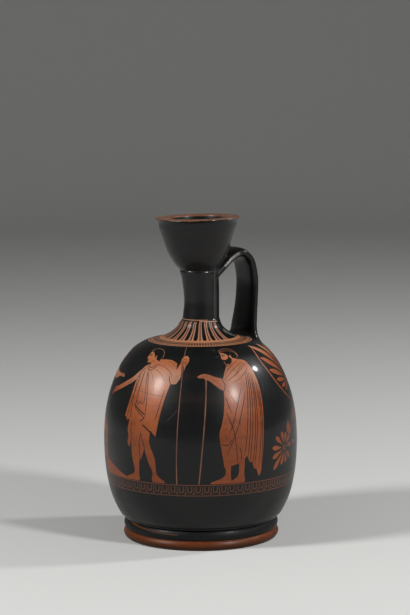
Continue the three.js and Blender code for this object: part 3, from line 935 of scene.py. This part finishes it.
def painted_wall():
    """The outer wall in triangles that end at every edge of the painting, and the paint of each.

    A grid on the plane and all the outlines of the coats are triangulated
    together, each triangle takes the paint of the last coat round its middle, and
    the plane is rolled up: angle across, length along the profile upwards. What a
    coat has past the seam is dropped."""
    across = np.linspace(0, AROUND, COLUMNS + 1)
    up = np.concatenate([np.linspace(0, 118, 44), np.linspace(118, arc[-1], 30)[1:]])
    grid = np.stack(np.meshgrid(across, up, indexing="ij"), axis=-1)
    border = np.vstack([grid[:, 0], grid[-1, 1:], grid[-2::-1, -1], grid[0, -2:0:-1]])
    loops = [border] + [outline for outline, paint in coats]
    starts = np.cumsum([0] + [len(loop) for loop in loops])
    round_loops = [start + np.arange(len(loop)) for start, loop in zip(starts, loops)]
    edges = np.vstack([np.stack([number, np.roll(number, -1)], axis=1) for number in round_loops]).tolist()
    corners = np.vstack(loops + [grid[1:-1, 1:-1].reshape(-1, 2)])
    found = delaunay_2d_cdt(list(map(Vector, corners.tolist())), edges, [], 0, 1e-5, False)
    flat = np.array(found[0])
    for seam in (0, AROUND):
        flat[np.abs(flat[:, 0] - seam) < 1e-3, 0] = seam
    triangles = np.array(found[2])
    middle = flat[triangles].mean(axis=1)
    on_wall = (middle[:, 0] > 0) & (middle[:, 0] < AROUND)
    middle = middle[on_wall]
    used, triangles = np.unique(triangles[on_wall], return_inverse=True)
    triangles = triangles.reshape(-1, 3)
    flat = flat[used]
    order = np.argsort(middle[:, 0])
    sorted_middle = middle[order]
    paint = np.zeros(len(triangles), int)
    for outline, colour in coats:
        low = outline.min(axis=0)
        high = outline.max(axis=0)
        first, last = np.searchsorted(sorted_middle[:, 0], (low[0], high[0]))
        near = np.arange(first, last)
        near = near[(sorted_middle[near, 1] > low[1]) & (sorted_middle[near, 1] < high[1])]
        paint[order[near[inside(sorted_middle[near], outline)]]] = colour
    r = wall_radius(flat[:, 1])
    z = np.interp(flat[:, 1], arc, body_outer[:, 1])
    angle = SEAM + flat[:, 0] / PLANE_RADIUS
    return np.stack([r * np.cos(angle), r * np.sin(angle), z], axis=1), triangles, paint


def true_normals(made):
    """Sets the turned profile's own normals on the outer
    wall, so that thin triangles shade as the smooth wall."""
    mesh = made.data
    place = np.empty(len(mesh.vertices) * 3)
    mesh.vertices.foreach_get("co", place)
    place = place.reshape(-1, 3) * 1000
    r = np.hypot(place[:, 0], place[:, 1])
    on_wall = np.abs(r - np.interp(place[:, 2], body_outer[:, 1], body_outer[:, 0])) < 0.02
    on_wall &= place[:, 2] > body_outer[0, 1] - 0.01
    slope = np.gradient(body_outer, axis=0)
    across = np.stack([slope[:, 1], -slope[:, 0]], axis=1) / np.linalg.norm(slope, axis=1, keepdims=True)
    out, rise = (np.interp(place[:, 2], body_outer[:, 1], across[:, k]) for k in (0, 1))
    normal = np.stack([out * place[:, 0] / (r + 1e-9), out * place[:, 1] / (r + 1e-9), rise], axis=1)
    vertex = np.empty(len(mesh.loops), np.int32)
    mesh.loops.foreach_get("vertex_index", vertex)
    count = np.empty(len(mesh.polygons), np.int32)
    mesh.polygons.foreach_get("loop_total", count)
    face = np.repeat(np.arange(len(count)), count)
    whole = np.bincount(face, ~on_wall[vertex], len(count)) == 0
    corner = np.empty(len(mesh.loops) * 3, np.float32)
    mesh.corner_normals.foreach_get("vector", corner)
    corner = np.where(whole[face][:, None], normal[vertex], corner.reshape(-1, 3))
    mesh.normals_split_custom_set(corner.tolist())


paint_wall()
points, triangles, paint = painted_wall()
spigot = [(0, 7.4), (20, 7.0), (37.9, 6.0), (37.9, BODY_SEAT), (48.2, BODY_SEAT), tuple(body_outer[0])]
low, low_faces = turned(spigot, start=SEAM)
high, high_faces = turned(np.vstack([body_outer[-1:], body_inner]), start=SEAM)
faces = list(triangles) + list(low_faces + len(points)) + list(high_faces + len(points) + len(low))
plain = np.zeros(len(low_faces) + len(high_faces), int)
body = piece("body", np.vstack([points, low, high]), faces, [gloss, clay, dilute, scraped, dulled],
             np.concatenate([paint, plain]))
true_normals(body)
dress(body, "body", slot="black_gloss")

bore = [(BORE_RADIUS, NECK_TOP), (BORE_RADIUS, NECK_SEAT)]
points, faces = turned(np.vstack([neck_outer, bore, neck_outer[:1]]))
neck = piece("neck", points, faces, [gloss])
dress(neck, "neck", slot="black_gloss")

lip = np.linspace(0, np.pi / 2, 7)
lip_outer = np.stack([RIM_RADIUS - 0.7 + 0.7 * np.cos(lip), HEIGHT - 0.6 + 0.6 * np.sin(lip)], axis=1)
lip_inner = np.stack([MOUTH_OPENING + 1.0 - 1.0 * np.sin(lip), HEIGHT - 1.0 + 1.0 * np.cos(lip)], axis=1)
below_lip = mouth_inner[mouth_inner[:, 1] < HEIGHT - 1.2]
points, faces = turned(np.vstack([mouth_outer, lip_outer[1:], lip_inner, below_lip, mouth_outer[:1]]), 288)
level = points[faces].mean(axis=1)
turn = np.arctan2(level[:, 1], level[:, 0])
waves = ((0.4, 5, 1), (0.35, 13, 0), (0.3, 29, 2), (0.2, 47, 0))
ragged = sum(height * np.sin(count * turn + start) for height, count, start in waves)
out = np.hypot(level[:, 0], level[:, 1])
reserved = (level[:, 2] > HEIGHT - 0.45 - 0.4 * np.clip(ragged, -0.5, 1)) & (out > 20)
reserved |= (level[:, 2] > HEIGHT - 0.9) & (out < 20)
mouth = piece("mouth", points, faces, [gloss, clay], reserved)
dress(mouth, "mouth", slot="black_gloss")


# Handle

def strap_line(count):
    """Centripetal Catmull-Rom curve [x, z] of the strap's
    centre, from inside the neck to inside the shoulder."""
    p = np.array([(4, 162.6), (13.8, 169.6), (20.4, 174.6), (27.2, 176.8), (33.2, 172.4), (36.4, 161.6),
                  (36.3, 148), (34.9, 136), (34.0, 128), (34.8, 117)], float)
    p = np.vstack([2 * p[0] - p[1], p, 2 * p[-1] - p[-2]])
    t = np.linspace(0, 1, 40, endpoint=False)[None, :, None]
    a, b, c, d = (p[i:len(p) - 3 + i, None] for i in range(4))
    da, db, dc = (np.linalg.norm(v - u, axis=-1, keepdims=True) ** 0.5 for u, v in ((a, b), (b, c), (c, d)))
    m0 = ((b - a) / da - (c - a) / (da + db) + (c - b) / db) * db
    m1 = ((c - b) / db - (d - b) / (db + dc) + (d - c) / dc) * db
    cubic = (2 * b - 2 * c + m0 + m1) * t**3 + (3 * c - 3 * b - 2 * m0 - m1) * t**2 + m0 * t + b
    return resample(np.vstack([cubic.reshape(-1, 2), p[-2:-1]]), count)


STRAP_SIDES = 72
STRAP_STEPS = 480

# Steps by which the strap is carried on into the neck, and how far its ends sink under the walls
RUN_IN = 40
ROOT_SINK = 0.4


def strap_columns():
    """Flattened oval carried along the strap line, spreading a little at each root: its surface
    points [step, side], the unit normals there and the share of a turn of each side."""
    line = strap_line(STRAP_STEPS)
    t = np.linspace(0, 1, STRAP_STEPS + 1)
    half = STRAP_WIDTH / 2 + 0.6 * np.exp(-(t / 0.15) ** 2) + 3.4 * np.exp(-((1 - t) / 0.2) ** 2)
    along = np.gradient(line, axis=0)
    along /= np.linalg.norm(along, axis=1, keepdims=True)
    outward = np.stack([along[:, 1], -along[:, 0]], axis=1)
    turn = np.arange(STRAP_SIDES) * 2 * np.pi / STRAP_SIDES
    wide = np.sign(np.cos(turn)) * np.abs(np.cos(turn)) ** 0.77
    thick = np.sign(np.sin(turn)) * np.abs(np.sin(turn)) ** 0.77 * STRAP_THICKNESS / 2
    x = line[:, :1] + outward[:, :1] * thick
    z = line[:, 1:] + outward[:, 1:] * thick
    points = np.stack([x, half[:, None] * wide, z], axis=-1)
    across = np.cos(turn) * STRAP_THICKNESS / 2
    through = np.sin(turn) * half[:, None]
    normal = np.stack([outward[:, :1] * through, across + 0 * through, outward[:, 1:] * through], axis=-1)
    before = points[:1] + (points[:1] - points[1:2]) * np.arange(RUN_IN, 0, -1)[:, None, None]
    normal = np.concatenate([np.repeat(normal[:1], RUN_IN, axis=0), normal])
    return np.concatenate([before, points]), normal / np.linalg.norm(normal, axis=-1, keepdims=True), turn


upper_wall = np.vstack([neck_outer, mouth_outer])

# The body's wall from above its widest place up, turned round so that its radius grows
shoulder_line = body_outer[:149:-1]


def above_upper_wall(points):
    """How far points stand out from the neck and mouth."""
    return np.hypot(points[..., 0], points[..., 1]) - np.interp(points[..., 2], upper_wall[:, 1],
                                                                upper_wall[:, 0])


def above_shoulder(points):
    """How far points stand above the shoulder."""
    return points[..., 2] - np.interp(np.hypot(points[..., 0], points[..., 1]), *shoulder_line.T)


def along_columns(points, at):
    """Each side's point at its own place along the strap, counted in steps."""
    low = np.clip(np.floor(at).astype(int), 0, len(points) - 2)
    share = (at - low)[..., None]
    side = np.arange(points.shape[1])
    return points[low, side] * (1 - share) + points[low + 1, side] * share


def first_crossing(height, level):
    """Where along each column, in steps, the height last rises through a level before its middle."""
    half = len(height) // 2
    below = half - 1 - np.argmax((height[:half] < level)[::-1], axis=0)
    side = np.arange(height.shape[1])
    before = height[below, side]
    after = height[below + 1, side]
    return below + (level - before) / (after - before)


def quads_of(rows, sides, closed=False):
    """Faces of a grid whose rows run round; closed joins the last row to the first."""
    i, j = np.meshgrid(np.arange(rows if closed else rows - 1), np.arange(sides), indexing="ij")
    k = (j + 1) % sides
    n = (i + 1) % rows
    return np.stack([i * sides + j, n * sides + j, n * sides + k, i * sides + k], axis=-1).reshape(-1, 4)


def strap_handle(columns, start, end, steps=150):
    """The strap between its two walls: each column runs
    from its start to its end, and both ends are closed."""
    share = np.linspace(0, 1, steps + 1)[:, None]
    points = along_columns(columns, start + (end - start) * share).reshape(-1, 3)
    rows = steps + 1
    ends = [points[:STRAP_SIDES].mean(axis=0), points[-STRAP_SIDES:].mean(axis=0)]
    side = np.arange(STRAP_SIDES)
    after = (side + 1) % STRAP_SIDES
    last = steps * STRAP_SIDES
    low_cap = np.stack([0 * side + rows * STRAP_SIDES, side, after], axis=1)
    high_cap = np.stack([0 * side + rows * STRAP_SIDES + 1, last + after, last + side], axis=1)
    return np.vstack([points, ends]), list(quads_of(rows, STRAP_SIDES)) + list(low_cap) + list(high_cap)


def root_fillet(columns, normals, meet, rise, reach, onto_wall, flip, steps=12):
    """Slip worked into a root: from the strap at a rise from the wall, by a curve
    that bends at the wall, to a reach out along the wall, and closed inside both.

    Flip turns its faces round, where the sides run the other way about the strap."""
    middle = along_columns(columns, meet)
    side_normal = along_columns(normals, meet)
    wall_normal = onto_wall(middle)[1]
    out = side_normal - wall_normal * (side_normal * wall_normal).sum(axis=1, keepdims=True)
    out /= np.linalg.norm(out, axis=1, keepdims=True)
    top = along_columns(columns, meet + rise)
    foot = onto_wall(middle + out * reach[:, None])[0]
    t = np.linspace(0, 1, steps + 1)[:, None, None]
    curve = top * (1 - t) ** 2 + 2 * middle * t * (1 - t) + foot * t**2
    sunk = foot - wall_normal * 0.5
    buried = middle - wall_normal * 0.9 - side_normal * 0.7
    under = top - side_normal * 0.5
    points = np.concatenate([curve, sunk[None], buried[None], under[None]])
    faces = quads_of(len(points), STRAP_SIDES, closed=True)
    return points.reshape(-1, 3), faces[:, ::-1] if flip else faces


def onto_upper_wall(points):
    """Points moved onto the neck and mouth at their own level, and the wall's unit normals there."""
    z = points[:, 2]
    r, above, below = (np.interp(z + step, upper_wall[:, 1], upper_wall[:, 0]) for step in (0, 0.5, -0.5))
    slope = above - below
    flat = points[:, :2] / np.linalg.norm(points[:, :2], axis=1, keepdims=True)
    normal = np.column_stack([flat, -slope]) / np.hypot(1, slope)[:, None]
    return np.column_stack([flat * r[:, None], z]), normal


def onto_shoulder(points):
    """Points moved onto the shoulder at their own radius, and the wall's unit normals there."""
    r = np.linalg.norm(points[:, :2], axis=1)
    level = [np.interp(r + step, *shoulder_line.T) for step in (0, -0.5, 0.5)]
    fall = level[1] - level[2]
    normal = np.column_stack([points[:, :2] / r[:, None] * fall[:, None],
                              1 + 0 * r]) / np.hypot(1, fall)[:, None]
    return np.column_stack([points[:, :2], level[0]]), normal


columns, normals, turn = strap_columns()
flipped = columns[::-1]
flipped_normals = normals[::-1]
last = len(columns) - 1
upper_meet = first_crossing(above_upper_wall(columns), 0.0)
lower_meet = first_crossing(above_shoulder(flipped), 0.0)
points, faces = strap_handle(columns, first_crossing(above_upper_wall(columns), -ROOT_SINK),
                             last - first_crossing(above_shoulder(flipped), -ROOT_SINK))
handle = piece("handle", points, faces, [gloss])
dress(handle, "handle", slot="black_gloss", held=True)
MM_PER_STEP = np.linalg.norm(np.diff(strap_line(STRAP_STEPS), axis=0), axis=1).mean()
underside = np.clip(0.35 - np.sin(turn), 0, 1)
rise = (2.0 + 0.8 * underside) / MM_PER_STEP
points, faces = root_fillet(columns, normals, upper_meet, rise, 1.6 + 6.4 * underside, onto_upper_wall,
                            flip=True)
dress(piece("handle_upper_lute", points, faces, [gloss]), "handle_upper_lute", slot="clay_slip", held=True)
edges = np.cos(turn) ** 2
rise = (4.4 + 2.6 * edges) / MM_PER_STEP
points, faces = root_fillet(flipped, flipped_normals, lower_meet, rise, 3.4 + 2.8 * edges, onto_shoulder,
                            flip=False)
dress(piece("handle_lower_lute", points, faces, [gloss]), "handle_lower_lute", slot="clay_slip", held=True)


# Studio

def studio():
    """A round pale sweep: a flat floor that curves up into a wall all round."""
    bend = np.linspace(0, np.pi / 2, 24)
    curve = np.stack([2200 + 1500 * np.sin(bend), 1500 * (1 - np.cos(bend))], axis=1)
    profile = np.vstack([[(0, 0)], [(400, 0), (1200, 0)], curve, [(3700, 3600)]])
    points, faces = turned(profile[::-1], 96)
    material, tree, place = start_finish("matt_studio_paper")
    paper = {"Base Color": linear("#c6c6c4"), "Roughness": 0.9, "Specular IOR Level": 0.1}
    node(tree, "OutputMaterial", (node(tree, "BsdfPrincipled", paper),))
    return piece("studio_sweep", points, faces, [material])


studio()


def bearing(theta, elevation, distance):
    """Point at a bearing from the photograph's side: theta
    to the right of the view, elevation up, in metres."""
    front = np.array([math.sin(VIEW_AZIMUTH), -math.cos(VIEW_AZIMUTH), 0])
    right = np.array([math.cos(VIEW_AZIMUTH), math.sin(VIEW_AZIMUTH), 0])
    t = math.radians(theta)
    e = math.radians(elevation)
    level = math.cos(t) * front + math.sin(t) * right
    return distance * (math.cos(e) * level + math.sin(e) * np.array([0, 0, 1]))


def lamp(name, theta, elevation, distance, size, power):
    """A round soft lamp that faces the middle of the flask."""
    data = bpy.data.lights.new(name, "AREA")
    data.shape = "DISK"
    data.size = size
    data.energy = power
    made = bpy.data.objects.new(name, data)
    aim = Vector((0, 0, 0.09))
    made.location = Vector(bearing(theta, elevation, distance)) + aim
    made.rotation_euler = (aim - made.location).to_track_quat("-Z", "Y").to_euler()
    bpy.context.scene.collection.objects.link(made)


lamp("left_lamp", -63, 31.5, 1.5, 0.3, 19)
lamp("right_lamp", 46.4, 27.2, 1.5, 0.22, 16)
lamp("high_right_lamp", 100.5, 35, 1.5, 0.16, 9)

world = bpy.data.worlds.new("studio_air")
world.use_nodes = True
world.node_tree.nodes["Background"].inputs["Color"].default_value = (1, 1, 1, 1)
world.node_tree.nodes["Background"].inputs["Strength"].default_value = 0.1
bpy.context.scene.world = world

# Camera: focal length and sideways shift in pixels of a
# picture 615 high, distance and height from the foot's centre
PICTURE_HEIGHT = 615
FOCAL = 2100.0
SIDE = 5.2
DISTANCE = 1.2963
EYE = 0.3059
PITCH = math.radians(7.142)
ROLL = math.radians(0.35)
lens = bpy.data.cameras.new("photo_camera")
lens.sensor_fit = "VERTICAL"
lens.sensor_height = 36.0
lens.lens = lens.sensor_height * FOCAL / PICTURE_HEIGHT
lens.shift_x = SIDE / PICTURE_HEIGHT
camera = bpy.data.objects.new("photo_camera", lens)
back = Vector((math.sin(VIEW_AZIMUTH), -math.cos(VIEW_AZIMUTH), 0))
right = Vector((math.cos(VIEW_AZIMUTH), math.sin(VIEW_AZIMUTH), 0))
behind = back * math.cos(PITCH) + Vector((0, 0, math.sin(PITCH)))
above = behind.cross(right)
rolled = right * math.cos(ROLL) - above * math.sin(ROLL)
raised = above * math.cos(ROLL) + right * math.sin(ROLL)
turning = Matrix((rolled, raised, behind)).transposed().to_4x4()
camera.matrix_world = Matrix.Translation(back * DISTANCE + Vector((0, 0, EYE))) @ turning
bpy.context.scene.collection.objects.link(camera)
bpy.context.scene.camera = camera
bpy.context.scene.view_settings.view_transform = "Standard"
